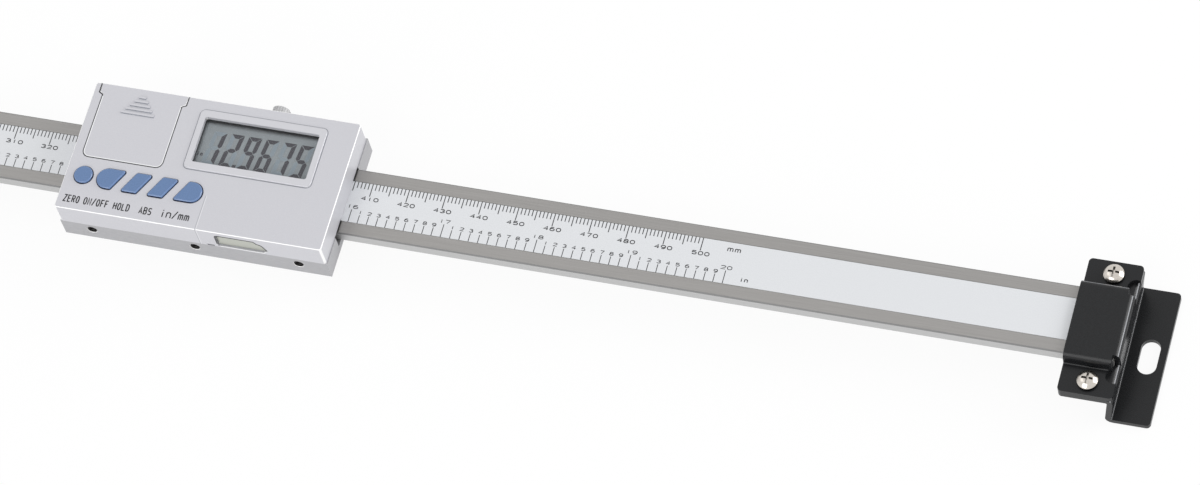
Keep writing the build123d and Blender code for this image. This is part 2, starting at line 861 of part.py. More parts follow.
def build_nodes():
    plans = button_plans()
    right_wiper_x = cover_length - cover_wall - wiper_thickness
    return {
        "beam": make_beam(),
        "stator_strip": make_stator_strip(),
        "graduated_film": make_graduated_film(),
        "clamp_left": at_left(make_clamp()),
        "clamp_right": at_right(make_clamp()),
        "bracket_left": at_left(make_bracket()),
        "bracket_right": at_right(make_bracket()),
        "clamp_screws": make_clamp_screws(),
        "slider_frame": make_slider_frame(),
        "gib_strip": make_gib_strip(),
        "gib_spring": make_gib_spring(),
        "sensor_board": make_sensor_board(),
        "board_screws": make_board_screws(),
        "front_cover": make_front_cover(),
        "cover_screws": make_cover_screws(),
        "display_window": make_display_window(),
        "display_glass": make_display_glass(),
        "display_holder": make_display_holder(),
        "contact_strips": make_contact_strips(),
        "button_mat": make_button_mat(),
        "battery_cell": make_battery(),
        "contact_negative": make_negative_contact(),
        "contact_positive": make_positive_contact(),
        "wiper_left": make_wiper(cover_wall),
        "wiper_right": make_wiper(right_wiper_x),
        "port_contacts": make_port_contacts(),
        "port_cover": make_port_cover(),
        "battery_lid": make_battery_lid(),
        "button_zero": make_button(plans[0]),
        "button_on_off": make_button(plans[1]),
        "button_hold": make_button(plans[2]),
        "button_abs": make_button(plans[3]),
        "button_unit": make_button(plans[4]),
        "lock_shoe": make_lock_shoe(),
        "lock_knob": make_lock_knob(),
    }


os.makedirs("parts", exist_ok=True)
for name, shape in build_nodes().items():
    export_step(shape, "parts/" + name + ".step")
    print(name, "solids", len(shape.solids()), "volume", round(shape.volume, 2))
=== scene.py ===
import json

import bpy
import numpy as np
from mathutils import Matrix, Vector


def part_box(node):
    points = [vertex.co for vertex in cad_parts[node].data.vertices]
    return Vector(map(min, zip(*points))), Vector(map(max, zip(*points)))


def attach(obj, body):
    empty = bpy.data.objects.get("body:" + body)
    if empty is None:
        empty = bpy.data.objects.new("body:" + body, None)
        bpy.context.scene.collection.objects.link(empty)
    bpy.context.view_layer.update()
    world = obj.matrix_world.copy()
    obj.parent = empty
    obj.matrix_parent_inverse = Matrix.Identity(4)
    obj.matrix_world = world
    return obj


# Looks of a digital linear scale: the beam's printed graduations, the readout's
# labels and liquid crystal digits, and a finish for each material slot.
# Sizes are in millimetres and become metres with mm.
mm = 0.001
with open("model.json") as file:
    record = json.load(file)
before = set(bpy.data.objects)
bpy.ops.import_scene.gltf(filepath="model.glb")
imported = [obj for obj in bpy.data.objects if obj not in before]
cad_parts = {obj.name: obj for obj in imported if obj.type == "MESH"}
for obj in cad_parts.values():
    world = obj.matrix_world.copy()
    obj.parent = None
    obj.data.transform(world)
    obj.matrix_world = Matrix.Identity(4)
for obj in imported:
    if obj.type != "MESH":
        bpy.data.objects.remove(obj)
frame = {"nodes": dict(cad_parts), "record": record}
nodes = frame["nodes"]
record = frame["record"]


def noteSize():
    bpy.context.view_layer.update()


noteSize()

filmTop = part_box("graduated_film")[1].z / mm
sliderLow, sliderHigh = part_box("slider_frame")
coverLow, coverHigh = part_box("front_cover")
glassLow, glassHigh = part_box("display_glass")
sliderLeft = sliderLow.x / mm

print("frame loaded,", len(nodes), "nodes")


# Shader maths as plain expressions
class Signal:
    def __init__(self, finish, socket):
        self.finish = finish
        self.socket = socket

    def maths(self, operation, *values):
        return self.finish.node("ShaderNodeMath", {"operation": operation}, dict(enumerate(values)))

    def __add__(self, other):
        return self.maths("ADD", self, other)

    def __radd__(self, other):
        return self.maths("ADD", other, self)

    def __sub__(self, other):
        return self.maths("SUBTRACT", self, other)

    def __rsub__(self, other):
        return self.maths("SUBTRACT", other, self)

    def __mul__(self, other):
        return self.maths("MULTIPLY", self, other)

    def __rmul__(self, other):
        return self.maths("MULTIPLY", other, self)

    def atLeast(self, other):
        return self.maths("MAXIMUM", self, other)

    def atMost(self, other):
        return self.maths("MINIMUM", self, other)

    def absolute(self):
        return self.maths("ABSOLUTE", self)


# One node tree, of a material or of the world
class Finish:
    def __init__(self, tree):
        self.tree = tree
        tree.nodes.clear()

    def node(self, kind, settings, inputs, output=0):
        made = self.tree.nodes.new(kind)
        for key, value in settings.items():
            setattr(made, key, value)
        for key, value in inputs.items():
            self.feed(made.inputs[key], value)
        return Signal(self, made.outputs[output]) if made.outputs else None

    def feed(self, socket, value):
        if isinstance(value, Signal):
            self.tree.links.new(value.socket, socket)
        else:
            socket.default_value = value

    def place(self):
        return self.node("ShaderNodeTexCoord", {}, {}, "Object")

    # The three parts of a vector
    def split(self, vector):
        outputs = self.node("ShaderNodeSeparateXYZ", {}, {0: vector}).socket.node.outputs
        return [Signal(self, output) for output in outputs]

    # Which way the surface faces, as three parts from -1 to 1
    def direction(self):
        return self.split(self.node("ShaderNodeTexCoord", {}, {}, "Normal"))

    # How far the surface faces along X, Y and Z, each from 0 to 1
    def facing(self):
        return [part.absolute() for part in self.direction()]

    # 1 on a rounded or chamfered edge, 0 on a face square to an axis
    def edge(self, flat, slanting):
        x, y, z = self.facing()
        return 1 - self.ramp(x.atLeast(y).atLeast(z), slanting, flat)

    # Noise whose grain is that many millimetres long, evenly or in X, Y and Z
    def grain(self, size, detail=3.0):
        spread = (1 / (np.full(3, size) * mm)).tolist()
        settings = {"operation": "MULTIPLY"}
        scaled = self.node("ShaderNodeVectorMath", settings, {0: self.place(), 1: spread})
        return self.node("ShaderNodeTexNoise", {}, {"Vector": scaled, "Scale": 1.0, "Detail": detail})

    # 0 below low, 1 above high
    def ramp(self, value, low, high):
        limits = {"Value": value, "From Min": low, "From Max": high, "To Min": 0.0, "To Max": 1.0}
        return self.node("ShaderNodeMapRange", {"clamp": True}, limits)

    # The Mix node's colours are its inputs 6 and 7, and its mixed colour output 2
    def mixColour(self, factor, first, second):
        inputs = {0: factor, 6: first, 7: second}
        return self.node("ShaderNodeMix", {"data_type": "RGBA"}, inputs, 2)

    def bump(self, height, strength, distance):
        sockets = {"Strength": strength, "Distance": distance * mm, "Height": height}
        return self.node("ShaderNodeBump", {}, sockets)

    def surface(self, inputs):
        shader = self.node("ShaderNodeBsdfPrincipled", {}, inputs)
        self.node("ShaderNodeOutputMaterial", {}, {"Surface": shader})


def newMaterial(name):
    material = bpy.data.materials.new(name)
    material.use_nodes = True
    return material, Finish(material.node_tree)


# A colour as seen on a screen, each part from 0 to 255
def colour(red, green, blue):
    parts = np.array([red, green, blue]) / 255
    linear = np.where(parts < 0.04045, parts / 12.92, ((parts + 0.055) / 1.055) ** 2.4)
    return [float(c) for c in linear] + [1.0]


# Marks on the readout's cover. X counts from the slider's left end. The paler
# rim round the display stands higher than the rest, the lid's grip ridges have
# darker sides painted as shade, and a seam that runs from the rim to the front
# edge is drawn as a line of painted shade with a line of painted highlight
# beside it. Each span is where a mark begins and where it is whole.
trim = {
    "rimHeight": 0.4,
    "rim": (206, 206, 211),
    "rimStart": (27.5, 28.0),
    "rimSpan": (0.05, 0.2),
    # painted shade on the steep sides of the grip ridges
    "ridge": (140, 144, 156),
    "ridgeSpan": (0.01, 0.04),
    "ridgeSlope": (0.6, 0.3),
    "seam": 39.4,
    "seamFront": (-9.0, -9.5),
    "seamSpan": (0.16, 0.08),
    # painted shade along the seam, then a painted highlight beside it
    "seamShade": (176, 177, 183),
    "seamHighlight": (222, 222, 226),
    "highlightAside": 0.25,
}
coverTop = coverHigh.z / mm - trim["rimHeight"]


def coverMarks(finish, base):
    x, y, z = finish.split(finish.place())

    def span(value, key, start):
        low, high = trim[key]
        return finish.ramp(value, start + low * mm, start + high * mm)

    top = coverHigh.z - trim["rimHeight"] * mm
    beyondLid = span(x, "rimStart", sliderLow.x)
    onRim = beyondLid * span(z, "rimSpan", top)
    base = finish.mixColour(onRim, base, colour(*trim["rim"]))
    # Painted shade on the steep sides of the lid's grip ridges
    slope = finish.ramp(finish.facing()[2], *trim["ridgeSlope"])
    ridgeShadeMask = (1 - beyondLid) * span(z, "ridgeSpan", top) * slope
    base = finish.mixColour(ridgeShadeMask, base, colour(*trim["ridge"]))
    # Along the seam, a line of painted shade and beside it a line of painted highlight
    inFront = span(y, "seamFront", 0.0)
    aside = x - (sliderLow.x + trim["seam"] * mm)
    dark = span(aside.absolute(), "seamSpan", 0.0) * inFront
    base = finish.mixColour(dark, base, colour(*trim["seamShade"]))
    aside = aside - trim["highlightAside"] * mm
    pale = span(aside.absolute(), "seamSpan", 0.0) * inFront
    return finish.mixColour(pale, base, colour(*trim["seamHighlight"]))


# How a grained finish is made up: the noise between two values is stretched to
# 0 and 1, and the grain and the marks share in the roughness. A surface is a
# side where little of it faces up, and a front where it faces towards -Y.
grained = {
    "fineSpan": (0.3, 0.7),
    "broadSpan": (0.35, 0.75),
    "broadDetail": 4.0,
    "fineShare": 0.6,
    "broadShare": 0.4,
    "sideSpan": (0.5, 0.2),
    "frontSpan": (-0.5, -0.3),
    "coatRoughness": 0.15,
    "depth": 0.01,
}


# Finish with a fine grain and, over it, broader marks of use that change the gloss
def grainedFinish(name, look):
    material, finish = newMaterial(name)
    fine = finish.ramp(finish.grain(look["grain"]), *grained["fineSpan"])
    marks = finish.grain(look["marks"], grained["broadDetail"])
    broad = finish.ramp(marks, *grained["broadSpan"])
    smooth, rough = look["roughness"]
    worn = grained["fineShare"] * fine + grained["broadShare"] * broad
    base = finish.mixColour(fine, colour(*look["dark"]), colour(*look["light"]))
    # Where a look gives a side colour, the upright sides are painted darker with it as shade
    if "side" in look:
        onSide = finish.ramp(finish.facing()[2], *grained["sideSpan"])
        base = finish.mixColour(onSide, base, colour(*look["side"]))
    # Where a look gives an edge colour, the bends and rounded edges are painted lighter with it as
    # highlight; with plainFront the edges that face -Y are left out
    if "edge" in look:
        onEdge = finish.edge(*look["edgeSpan"])
        if "plainFront" in look:
            onEdge = onEdge * finish.ramp(finish.direction()[1], *grained["frontSpan"])
        base = finish.mixColour(onEdge, base, colour(*look["edge"]))
    if "trimmed" in look:
        base = coverMarks(finish, base)
    inputs = {
        "Base Color": base,
        "Roughness": smooth + (rough - smooth) * worn,
        "Metallic": look.get("metal", 0.0),
        "Specular IOR Level": look.get("specular", 0.5),
        "Coat Weight": look.get("coat", 0.0),
        "Coat Roughness": grained["coatRoughness"],
        "Normal": finish.bump(fine, look["relief"], look.get("depth", grained["depth"])),
    }
    finish.surface(inputs)
    return material


# The beam's steel, brushed along X
beamLook = {
    "light": (162, 160, 158),
    "dark": (148, 146, 144),
    "lines": (18.0, 0.12, 0.12),
    "lineSpan": (0.25, 0.75),
    "lineDetail": 2.0,
    "scratch": (128, 126, 124),
    "scratches": (7.0, 0.08, 0.08),
    "scratchSpan": (0.62, 0.72),
    "scratchDepth": 0.35,
    "scratchCut": 0.5,
    "marks": (30.0, 6.0, 6.0),
    "marksDetail": 3.0,
    "side": (194, 194, 194),
    "sideSpan": (0.6, 0.9),
    # painted shade on the chamfers
    "edge": (112, 112, 112),
    "edgeSpan": (0.95, 0.8),
    "metal": 0.7,
    "anisotropic": 0.4,
    "roughness": (0.4, 0.5),
    "lineShare": 0.5,
    "relief": 0.15,
    "depth": 0.01,
}


# Fine lines along X with darker scratches between them, a chamfer painted dark
# as shade, and paler ground sides
def brushedFinish(name, look):
    material, finish = newMaterial(name)
    noise = finish.grain(look["lines"], look["lineDetail"])
    lines = finish.ramp(noise, *look["lineSpan"])
    noise = finish.grain(look["scratches"], look["lineDetail"])
    scratches = finish.ramp(noise, *look["scratchSpan"])
    broad = finish.grain(look["marks"], look["marksDetail"])
    smooth, rough = look["roughness"]
    worn = look["lineShare"] * lines + (1 - look["lineShare"]) * broad
    base = finish.mixColour(lines, colour(*look["dark"]), colour(*look["light"]))
    base = finish.mixColour(scratches * look["scratchDepth"], base, colour(*look["scratch"]))
    onSide = finish.ramp(finish.facing()[1], *look["sideSpan"])
    base = finish.mixColour(onSide, base, colour(*look["side"]))
    # The chamfers are painted darker as shade
    base = finish.mixColour(finish.edge(*look["edgeSpan"]), base, colour(*look["edge"]))
    height = lines - look["scratchCut"] * scratches
    inputs = {
        "Base Color": base,
        "Roughness": smooth + (rough - smooth) * worn,
        "Metallic": look["metal"],
        "Anisotropic": look["anisotropic"],
        "Normal": finish.bump(height, look["relief"], look["depth"]),
    }
    finish.surface(inputs)
    return material


# Colours of each material slot, and how long its grain is, evenly or in X, Y
# and Z
looks = {
    "strip_board": {"light": (158, 150, 92), "dark": (140, 132, 78), "grain": 0.4},
    "film_silver": {"light": (226, 228, 231), "dark": (217, 219, 222), "grain": 0.25},
    "bracket_black": {"light": (27, 28, 30), "dark": (19, 20, 22), "grain": 0.35},
    "screw_nickel": {"light": (214, 208, 200), "dark": (196, 190, 182), "grain": 0.3},
    "frame_metal": {"light": (184, 184, 187), "dark": (170, 170, 173), "grain": (1.5, 0.12, 0.12)},
    "gib_black": {"light": (34, 34, 35), "dark": (27, 27, 28), "grain": 0.4},
    "spring_steel": {"light": (188, 188, 186), "dark": (170, 170, 168), "grain": (3.0, 0.2, 0.2)},
    "circuit_board": {"light": (48, 116, 66), "dark": (38, 102, 56), "grain": 0.9},
    "cover_silver": {"light": (206, 206, 211), "dark": (199, 199, 205), "grain": 0.22},
    "holder_white": {"light": (222, 222, 219), "dark": (213, 213, 210), "grain": 0.5},
    "strip_rubber": {"light": (158, 128, 118), "dark": (72, 60, 58), "grain": (0.15, 9.0, 9.0)},
    "mat_rubber": {"light": (178, 178, 176), "dark": (168, 168, 166), "grain": 0.5},
    "cell_steel": {"light": (204, 204, 201), "dark": (190, 190, 187), "grain": (0.2, 4.0, 4.0)},
    "contact_brass": {"light": (224, 196, 130), "dark": (208, 178, 112), "grain": 0.5},
    "felt_grey": {"light": (142, 142, 142), "dark": (108, 108, 108), "grain": 0.18},
    "port_grey": {"light": (190, 192, 184), "dark": (182, 184, 175), "grain": 0.3},
    "button_blue": {"light": (99, 128, 172), "dark": (91, 120, 163), "grain": 0.35},
    "shoe_brass": {"light": (214, 184, 118), "dark": (196, 166, 100), "grain": (0.2, 3.0, 0.2)},
    "knob_nickel": {"light": (206, 206, 207), "dark": (196, 196, 197), "grain": (0.2, 1.5, 0.2)},
}

# How each slot shines: its least and greatest roughness, the relief of its
# grain, and the colour painted on its bends as highlight or on its upright sides
# as shade, where they differ
gloss = {
    "strip_board": {"roughness": (0.5, 0.6), "relief": 0.1},
    "film_silver": {"roughness": (0.38, 0.46), "relief": 0.06, "metal": 0.1},
    "bracket_black": {
        "roughness": (0.24, 0.34),
        "relief": 0.18,
        "specular": 0.32,
        "edge": (150, 152, 156),
        "edgeSpan": (0.79, 0.73),
        "plainFront": True,
    },
    "screw_nickel": {"roughness": (0.16, 0.26), "relief": 0.08, "metal": 1.0, "side": (58, 55, 52)},
    "frame_metal": {
        "roughness": (0.42, 0.54),
        "relief": 0.2,
        "metal": 0.45,
        "edge": (226, 226, 226),
        "edgeSpan": (0.99, 0.9),
    },
    "gib_black": {"roughness": (0.45, 0.55), "relief": 0.1},
    "spring_steel": {"roughness": (0.25, 0.35), "relief": 0.1, "metal": 1.0},
    "circuit_board": {"roughness": (0.3, 0.4), "relief": 0.3},
    "cover_silver": {
        "roughness": (0.34, 0.42),
        "relief": 0.08,
        "metal": 0.15,
        "coat": 0.15,
        "edge": (255, 255, 255),
        "edgeSpan": (0.99, 0.9),
        "trimmed": True,
    },
    "holder_white": {"roughness": (0.45, 0.55), "relief": 0.08},
    "strip_rubber": {"roughness": (0.6, 0.7), "relief": 0.1},
    "mat_rubber": {"roughness": (0.55, 0.65), "relief": 0.12},
    "cell_steel": {"roughness": (0.22, 0.32), "relief": 0.1, "metal": 1.0},
    "contact_brass": {"roughness": (0.2, 0.3), "relief": 0.08, "metal": 1.0},
    "felt_grey": {"roughness": (0.9, 1.0), "relief": 0.9, "depth": 0.1},
    "port_grey": {"roughness": (0.42, 0.5), "relief": 0.1},
    "button_blue": {
        "roughness": (0.3, 0.38),
        "relief": 0.1,
        "coat": 0.2,
        "edge": (110, 137, 181),
        "edgeSpan": (0.99, 0.9),
        "side": (48, 60, 92),
    },
    "shoe_brass": {"roughness": (0.25, 0.35), "relief": 0.12, "metal": 1.0},
    "knob_nickel": {"roughness": (0.48, 0.56), "relief": 0.12, "metal": 0.15},
}

# Marks of use are that long in X, Y and Z where a look doesn't say otherwise
marks = (14.0, 9.0, 9.0)
materials = {"beam_steel": brushedFinish("beam_steel", beamLook)}
for slot, look in looks.items():
    materials[slot] = grainedFinish(slot, {"marks": marks} | look | gloss[slot])

# Liquid crystal glass: grey, with painted shade that darkens it towards its
# edges and most along its back and left ones, where the rim shades it
displayLook = {
    "middle": (135, 142, 146),
    "edge": (110, 115, 118),
    "edgeSpan": (1.0, 1.9),
    "shade": (56, 56, 58),
    "shadeSpan": (1.0, 2.3),
    "leftShare": 1.8,
    "mottle": 2.5,
    "mottleDetail": 2.0,
    "mottleSpan": (0.3, 0.8),
    "mottleShade": 0.15,
    "roughness": 0.16,
    "mottleRoughness": 0.04,
    "coat": 0.4,
    "coatRoughness": 0.05,
}


def displayFinish(name, look):
    material, finish = newMaterial(name)
    middle = (glassLow + glassHigh) / 2
    half = (glassHigh - glassLow) / 2
    x, y, z = finish.split(finish.place())
    x = x - middle.x
    y = y - middle.y
    inward = (half.x - x.absolute()).atMost(half.y - y.absolute())
    inward = finish.ramp(inward, *[width * mm for width in look["edgeSpan"]])
    noise = finish.grain(look["mottle"], look["mottleDetail"])
    mottle = finish.ramp(noise, *look["mottleSpan"])
    plain = inward - look["mottleShade"] * mottle
    base = finish.mixColour(plain, colour(*look["edge"]), colour(*look["middle"]))
    fromBackLeft = (half.y - y).atMost((half.x + x) * look["leftShare"])
    clear = finish.ramp(fromBackLeft, *[width * mm for width in look["shadeSpan"]])
    inputs = {
        "Base Color": finish.mixColour(clear, colour(*look["shade"]), base),
        "Roughness": look["roughness"] + look["mottleRoughness"] * mottle,
        "Coat Weight": look["coat"],
        "Coat Roughness": look["coatRoughness"],
    }
    finish.surface(inputs)
    return material


materials["display_grey"] = displayFinish("display_grey", displayLook)

# Clear window: what it shows is mostly what lies under it, with a faint gloss
windowLook = {
    "colour": (238, 242, 242),
    "dust": 1.2,
    "dustDetail": 5.0,
    "dustSpan": (0.5, 0.9),
    "alpha": 0.02,
    "dustAlpha": 0.02,
    "roughness": 0.06,
    "dustRoughness": 0.1,
    "ior": 1.49,
}


def windowFinish(name, look):
    material, finish = newMaterial(name)
    dust = finish.ramp(finish.grain(look["dust"], look["dustDetail"]), *look["dustSpan"])
    inputs = {
        "Base Color": colour(*look["colour"]),
        "Alpha": look["alpha"] + look["dustAlpha"] * dust,
        "Roughness": look["roughness"] + look["dustRoughness"] * dust,
        "IOR": look["ior"],
    }
    finish.surface(inputs)
    return material


materials["window_clear"] = windowFinish("window_clear", windowLook)

for part in record["subparts"]:
    mesh = nodes[part["node"]].data
    mesh.materials.clear()
    mesh.materials.append(materials[part["material_slot"]])

# Inks, and the painted shades of gaps and painted highlights of edges, each with its light and dark
# colour
inkLook = {"grain": 0.2, "marks": 6.0, "roughness": (0.4, 0.5), "relief": 0.1}
inks = {
    "scale_ink": ((46, 46, 49), (34, 34, 37)),
    "label_ink": ((20, 19, 24), (14, 13, 17)),
    "segment_ink": ((62, 61, 68), (53, 52, 59)),
    "idle_segment": ((131, 142, 150), (126, 137, 145)),
    "seam_shade": ((66, 66, 70), (52, 52, 56)),
    "gap_shade": ((38, 45, 66), (28, 34, 52)),
    "end_gap_shade": ((24, 24, 24), (16, 16, 16)),
    "groove_shade": ((180, 183, 190), (172, 175, 182)),
    # painted highlight on the port cover's lip
    "lip_highlight": ((236, 237, 238), (229, 230, 232)),
    # painted highlight on the lid's edge
    "lid_edge_highlight": ((250, 251, 252), (244, 245, 247)),
    "rim_shade": ((146, 149, 156), (138, 141, 148)),
}
for name, (light, dark) in inks.items():
    materials[name] = grainedFinish(name, inkLook | {"light": light, "dark": dark})

# Near black: the threads' colour is painted shade inside the tapped holes
threadLook = {
    "light": (44, 42, 41),
    "dark": (26, 25, 25),
    "grain": 0.3,
    "marks": 2.0,
    "roughness": (0.35, 0.5),
    "relief": 0.15,
    "metal": 0.6,
}
materials["thread_shade"] = grainedFinish("thread_shade", threadLook)

print("finishes made:", len(bpy.data.materials))


# A finished piece at the origin, with its place in its mesh. A shape is a pair:
# its points in millimetres, and its faces.
def addPiece(name, shape, finish, body):
    points, faces = shape
    mesh = bpy.data.meshes.new(name)
    mesh.from_pydata((points * mm).tolist(), [], faces)
    mesh.validate()
    mesh.materials.append(materials[finish])
    piece = bpy.data.objects.new(name, mesh)
    bpy.context.scene.collection.objects.link(piece)
    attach(piece, body)


# Several shapes as one: the faces of each are counted on from those before it
def joined(shapes):
    counts = [len(points) for points, own in shapes]
    starts = np.cumsum([0] + counts[:-1]).tolist()
    faces = []
    for start, (points, own) in zip(starts, shapes):
        faces += [[corner + start for corner in face] for face in own]
    return np.concatenate([points for points, own in shapes]), faces


# Flat bars, one for each middle place along X: eight corners each, as boxes
def bars(middle, low, high, width, bottom, top):
    x = middle[:, None] + width * np.array([-0.5, 0.5, 0.5, -0.5] * 2)
    y = np.stack([low, low, high, high] * 2, axis=1)
    z = np.broadcast_to(np.repeat([bottom, top], 4), x.shape)
    points = np.stack([x, y, z], axis=2).reshape(-1, 3)
    sides = [[0, 3, 2, 1], [4, 5, 6, 7], [0, 1, 5, 4], [1, 2, 6, 5], [2, 3, 7, 6], [3, 0, 4, 7]]
    faces = np.array(sides)[None] + 8 * np.arange(len(middle))[:, None, None]
    return points, faces.reshape(-1, 4).tolist()


# A plate of any outline, from bottom to top
def plate(outline, bottom, top):
    outline = np.asarray(outline, float)
    count = len(outline)
    lower = np.column_stack([outline, np.full(count, bottom)])
    upper = np.column_stack([outline, np.full(count, top)])
    corner = np.arange(count)
    following = (corner + 1) % count
    walls = np.column_stack([corner, following, following + count, corner + count])
    faces = [corner[::-1].tolist(), (corner + count).tolist()] + walls.tolist()
    return np.concatenate([lower, upper]), faces


# Power of a round stroke: 1 draws an ellipse, and less than 1 a squarer one
roundness = 0.85


# Part of such an ellipse, from one angle to another in degrees: the cosine and
# the sine keep their sign and are raised to the power
def bow(middle, radii, start, end, steps=11):
    turn = np.radians(np.linspace(start, end, steps))
    circle = np.column_stack([np.cos(turn), np.sin(turn)])
    return np.array(middle) + np.array(radii) * np.sign(circle) * np.abs(circle) ** roundness


# A stroke that runs straight from point to point
def line(*points):
    return np.array(points, float)


# Lines and bows one after another, as one stroke
def run(*parts):
    return np.vstack(parts)


# Single-line letters and digits in a box one unit wide and high: each is a list
# of strokes, and a stroke is the points that it runs through
ring = bow((0.5, 0.5), (0.5, 0.5), 90, 450, 21)
six = [bow((0.5, 0.31), (0.5, 0.31), 180, 540, 17), line((0, 0.31), (0.06, 0.7), (0.3, 0.94), (0.86, 1))]
bowl = bow((0.55, 0.76), (0.4, 0.24), 90, -90)
belly = bow((0.55, 0.26), (0.45, 0.26), 90, -90)
strokes = {
    "0": [ring],
    "1": [line((0.5, 0), (0.5, 1))],
    "2": [run(bow((0.5, 0.74), (0.5, 0.26), 165, -25), line((0, 0), (1, 0)))],
    "3": [bow((0.47, 0.75), (0.45, 0.25), 155, -90), bow((0.5, 0.26), (0.5, 0.26), 90, -160)],
    "4": [line((0.74, 0), (0.74, 1), (0, 0.3), (1, 0.3))],
    "5": [run(line((0.9, 1), (0.12, 1), (0.05, 0.56)), bow((0.5, 0.32), (0.5, 0.32), 115, -155))],
    "6": six,
    "7": [line((0, 1), (1, 1), (0.38, 0))],
    "8": [bow((0.5, 0.76), (0.42, 0.24), 90, 450, 17), bow((0.5, 0.26), (0.5, 0.26), 90, 450, 17)],
    "9": [1 - stroke for stroke in six],
    "A": [line((0, 0), (0.5, 1), (1, 0)), line((0.17, 0.33), (0.83, 0.33))],
    "B": [
        run(line((0, 0.52), (0, 1)), bowl, line((0, 0.52))),
        run(line((0, 0.52)), belly, line((0, 0), (0, 0.52))),
    ],
    "D": [run(line((0, 0), (0, 1)), bow((0.4, 0.5), (0.6, 0.5), 90, -90), line((0, 0)))],
    "E": [line((1, 1), (0, 1), (0, 0), (1, 0)), line((0, 0.51), (0.85, 0.51))],
    "F": [line((0, 0), (0, 1), (1, 1)), line((0, 0.52), (0.82, 0.52))],
    "H": [line((0, 0), (0, 1)), line((1, 0), (1, 1)), line((0, 0.52), (1, 0.52))],
    "L": [line((0, 1), (0, 0), (1, 0))],
    "N": [line((0, 0), (0, 1), (1, 0), (1, 1))],
    "O": [ring],
    "R": [run(line((0, 0), (0, 1)), bowl, line((0, 0.52))), line((0.5, 0.52), (1, 0))],
    "S": [run(bow((0.5, 0.75), (0.47, 0.25), 25, 260), bow((0.5, 0.25), (0.5, 0.25), 80, -155))],
    "Z": [line((0, 1), (1, 1), (0, 0), (1, 0))],
    "/": [line((0, -0.03), (1, 1.1))],
    "i": [line((0.5, 0), (0.5, 0.72)), line((0.5, 0.9), (0.5, 1.04))],
    "m": [
        line((0, 0), (0, 0.74)),
        run(bow((0.25, 0.52), (0.25, 0.22), 165, 0, 7), line((0.5, 0))),
        run(bow((0.75, 0.52), (0.25, 0.22), 165, 0, 7), line((1, 0))),
    ],
    "n": [line((0, 0), (0, 0.74)), run(bow((0.5, 0.46), (0.5, 0.28), 165, 0, 9), line((1, 0)))],
}


# Least cosine of half a turn that a ribbon's corner is worked out with, so that
# a sharp corner doesn't reach far
leastCosine = 0.55


# A ribbon of even width along a stroke: at each point its two sides lie off
# the point along the bisector of the legs that meet there, by half the width
# over the cosine of half the turn
def ribbon(stroke, width, bottom, top):
    closed = np.allclose(stroke[0], stroke[-1])
    leg = np.diff(stroke, axis=0)
    leg /= np.linalg.norm(leg, axis=1)[:, None]
    before = np.vstack([leg[-1:] if closed else leg[:1], leg])
    after = np.vstack([leg, leg[:1] if closed else leg[-1:]])
    aside = (before + after)[:, ::-1] * [-1, 1]
    aside /= np.linalg.norm(aside, axis=1)[:, None]
    straight = after[:, ::-1] * [-1, 1]
    reach = width / 2 / np.maximum(np.sum(aside * straight, axis=1), leastCosine)
    left = stroke + aside * reach[:, None]
    right = stroke - aside * reach[:, None]
    if closed:
        left, right = left[:-1], right[:-1]
    count = len(left)
    corners = [(right, bottom), (right, top), (left, top), (left, bottom)]
    edges = [np.column_stack([side, np.full(count, height)]) for side, height in corners]
    points = np.stack(edges, axis=1)
    here = np.arange(count if closed else count - 1)[:, None] * 4
    there = (here + 4) % (count * 4)
    corner = np.arange(4)
    following = (corner + 1) % 4
    quads = [here + corner, there + corner, there + following, here + following]
    faces = np.stack(quads, axis=2).reshape(-1, 4).tolist()
    if not closed:
        last = 4 * (count - 1)
        faces += [[0, 1, 2, 3], [last + 3, last + 2, last + 1, last]]
    return points.reshape(-1, 3), faces


# A letter or digit as ribbons whose outer edges just fill a box in plan
def signRibbons(sign, low, high, width, bottom, top):
    low = np.asarray(low, float) + width / 2
    size = np.asarray(high, float) - width / 2 - low
    return [ribbon(low + stroke * size, width, bottom, top) for stroke in strokes[sign]]


# The letters of a word in equal cells between two corners in plan. Each letter
# fills a share of its cell, and the last one ends at the high corner.
def wordRibbons(word, low, high, share, width, bottom, top):
    pitch = (high[0] - low[0]) / (len(word) - 1 + share)
    shapes = []
    for index, sign in enumerate(word):
        left = low[0] + index * pitch
        right = left + share * pitch
        shapes += signRibbons(sign, (left, low[1]), (right, high[1]), width, bottom, top)
    return shapes


# Graduations on the beam's strip. X counts from the zero of the scale.
scale = {
    "readingAtSlider": 330.3,
    "range": 500,
    "inches": 20,
    "inch": 25.4,
    "half": 6.0,
    "oneEnd": 4.2,
    "fiveEnd": 3.2,
    "tenEnd": 2.25,
    "tenthEnd": -3.6,
    "wholeEnd": -2.25,
    "lineWidth": 0.24,
    "inchLineWidth": 0.21,
    "depth": 0.03,
    "sunk": 0.02,
}
numerals = {
    "width": 1.4,
    "pitch": 1.7,
    "shift": 0.3,
    "millimetre": (0.88, 2.12),
    "whole": (-1.97, -0.82),
    "tenth": (-3.35, -2.27),
    "tenthWidth": 1.15,
    "stroke": 0.25,
    "inchStroke": 0.2,
}
zeroX = sliderLeft - scale["readingAtSlider"]
inkBottom = filmTop - scale["sunk"]
inkTop = inkBottom + scale["depth"]


# A line at each millimetre, longer at each fifth and longest at each tenth
def addMillimetreLines(scale):
    count = np.arange(scale["range"] + 1)
    low = np.where(count % 5 == 0, scale["fiveEnd"], scale["oneEnd"])
    low = np.where(count % 10 == 0, scale["tenEnd"], low)
    high = np.full(count.shape, scale["half"])
    shape = bars(zeroX + count, low, high, scale["lineWidth"], inkBottom, inkTop)
    addPiece("millimetre_lines", shape, "scale_ink", "beam_assembly")


